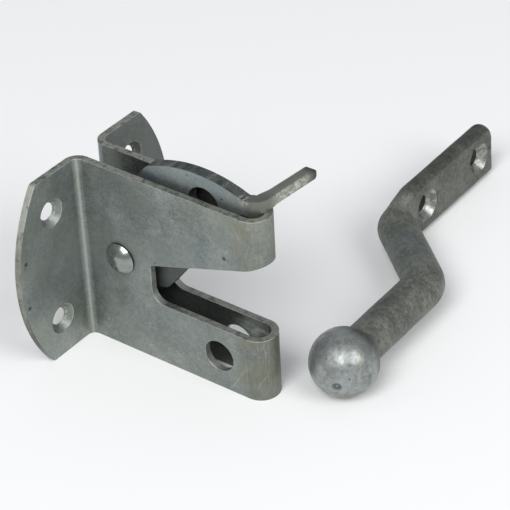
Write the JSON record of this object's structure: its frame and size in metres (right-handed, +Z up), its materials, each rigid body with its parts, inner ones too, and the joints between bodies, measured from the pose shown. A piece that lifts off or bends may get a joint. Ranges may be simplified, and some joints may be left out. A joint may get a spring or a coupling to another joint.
{
  "type": "automatic gate catch",
  "caption": "Automatic gate catch: a folded steel bracket with a flared slot, a swinging locking pawl with a bent finger, and a cranked striker bar with a ball end.",
  "frame": {"origin": "the middle of the four screw holes, on the back of the bracket's screw plate", "axes": "+X away from the post, towards the slot's mouth; +Y across the catch, towards its back cheek; +Z up as it stands in the picture"},
  "size_m": [0.0891, 0.161, 0.0666],
  "materials": {
    "zinc_sheet": "galvanised sheet, grey with olive tints near the bends",
    "rivet_steel": "plated, smooth",
    "pawl_steel": "plated plate, darker on its sheared edges",
    "forged_steel": "galvanised forging, mottled grey"
  },
  "bodies": {
    "catch": {"catch_bracket": "zinc_sheet", "pivot_rivet": "rivet_steel", "striker": "forged_steel"},
    "pawl": {"pawl": "pawl_steel"}
  },
  "joints": [
    {"name": "pawl_swing", "type": "hinge", "parent": "catch", "child": "pawl", "pos_m": [0.0155, 0, 0.0011], "axis": [0, -1, 0], "range_deg": [0, 288]}
  ]
}
